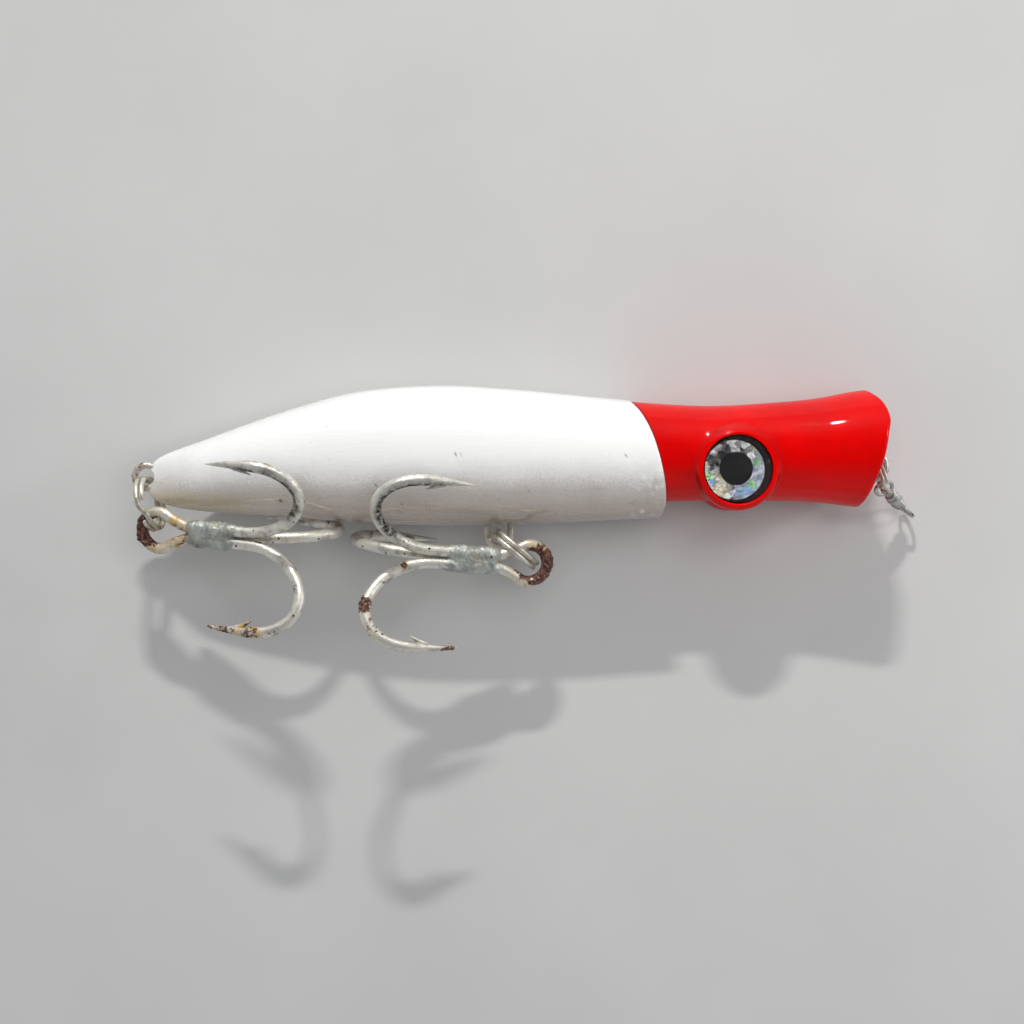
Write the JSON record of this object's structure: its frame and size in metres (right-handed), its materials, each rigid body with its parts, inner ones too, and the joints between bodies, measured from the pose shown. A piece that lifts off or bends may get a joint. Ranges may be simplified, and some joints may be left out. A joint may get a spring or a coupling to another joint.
{
  "type": "topwater popper lure",
  "caption": "Cupped-mouth surface fishing lure with a moulded body and head on a bent through-wire, split rings, treble hooks and a barrel swivel.",
  "frame": {"origin": "centre of the bounding box on the surface that the lure lies on, under its left flank", "axes": "+X towards the mouth, +Y towards the back, +Z out of the right flank, because the lure lies on its left flank"},
  "size_m": [0.1439, 0.0477, 0.0322],
  "materials": {
    "body_paint": "gloss pearl white over moulded plastic, scuffed",
    "head_paint": "gloss red over moulded plastic",
    "through_wire": "drawn stainless wire",
    "ballast": "dull cast slug",
    "rattle_tube": "plain tube",
    "rattle_ball": "polished ball",
    "eye_foil": "prismatic silver foil with a black pupil",
    "eye_dome": "clear moulded dome",
    "split_ring": "flattened spring wire, lightly corroded",
    "swivel": "dull corroded steel",
    "hook_wire": "tinned hook wire, rust at the eye and the points",
    "hook_braze": "rough grey braze"
  },
  "bodies": {
    "lure_body": {"body_shell_right": "body_paint", "body_shell_left": "body_paint", "head_shell_right": "head_paint", "head_shell_left": "head_paint", "through_wire": "through_wire", "tail_ballast": "ballast", "belly_ballast": "ballast", "rattle_tube": "rattle_tube", "eye_foil_right": "eye_foil", "eye_foil_left": "eye_foil", "eye_dome_right": "eye_dome", "eye_dome_left": "eye_dome"},
    "rattle_first": {"rattle_ball_1": "rattle_ball"},
    "rattle_second": {"rattle_ball_2": "rattle_ball"},
    "rattle_third": {"rattle_ball_3": "rattle_ball"},
    "nose_ring": {"nose_split_ring": "split_ring"},
    "swivel_inner": {"swivel_inner_eye": "swivel"},
    "swivel_body": {"swivel_barrel": "swivel"},
    "swivel_outer": {"swivel_outer_eye": "swivel"},
    "belly_ring": {"belly_split_ring": "split_ring"},
    "belly_hook": {"belly_treble_double": "hook_wire", "belly_treble_single": "hook_wire", "belly_treble_braze": "hook_braze"},
    "tail_ring": {"tail_split_ring": "split_ring"},
    "tail_hook": {"tail_treble_double": "hook_wire", "tail_treble_single": "hook_wire", "tail_treble_braze": "hook_braze"}
  },
  "joints": [
    {"name": "nose_ring_swing", "type": "hinge", "parent": "lure_body", "child": "nose_ring", "pos_m": [0.0634, 0.00975, 0.01105], "axis": [0, 0, 1], "range_deg": [-5, 100]},
    {"name": "swivel_swing", "type": "hinge", "parent": "nose_ring", "child": "swivel_inner", "pos_m": [0.06494, 0.00514, 0.00903], "axis": [0.2257, -0.6701, 0.7071], "range_deg": [-50, 45]},
    {"name": "swivel_barrel_spin", "type": "hinge", "parent": "swivel_inner", "child": "swivel_body", "pos_m": [0.06494, 0.00514, 0.00903], "axis": [0.5719, -0.4427, -0.6906], "continuous": true},
    {"name": "swivel_outer_spin", "type": "hinge", "parent": "swivel_body", "child": "swivel_outer", "pos_m": [0.06494, 0.00514, 0.00903], "axis": [0.5719, -0.4427, -0.6906], "continuous": true},
    {"name": "belly_ring_swing", "type": "hinge", "parent": "lure_body", "child": "belly_ring", "pos_m": [-0.00367, -0.00485, 0.01105], "axis": [0.6392, 0.769, 0], "range_deg": [-10, 45]},
    {"name": "belly_hook_swing", "type": "hinge", "parent": "belly_ring", "child": "belly_hook", "pos_m": [0.0012, -0.0089, 0.01315], "axis": [0, 0, 1], "range_deg": [0, 130]},
    {"name": "tail_ring_swing", "type": "hinge", "parent": "lure_body", "child": "tail_ring", "pos_m": [-0.06966, 0.00682, 0.01105], "axis": [0, 0, -1], "range_deg": [0, 100]},
    {"name": "tail_hook_swing", "type": "hinge", "parent": "tail_ring", "child": "tail_hook", "pos_m": [-0.06736, -0.0022, 0.01165], "axis": [0, 0, -1], "range_deg": [0, 150]},
    {"name": "rattle_slide_1", "type": "slide", "parent": "lure_body", "child": "rattle_first", "axis": [1, 0, 0], "range_m": [-0.0005, 0.0044]},
    {"name": "rattle_slide_2", "type": "slide", "parent": "lure_body", "child": "rattle_second", "axis": [1, 0, 0], "range_m": [-0.0005, 0.0044]},
    {"name": "rattle_slide_3", "type": "slide", "parent": "lure_body", "child": "rattle_third", "axis": [1, 0, 0], "range_m": [-0.0005, 0.0044]}
  ],
  "couplings": [
    {"joint": "rattle_slide_2", "follows": "rattle_slide_1", "ratio": 1},
    {"joint": "rattle_slide_3", "follows": "rattle_slide_1", "ratio": 1}
  ]
}
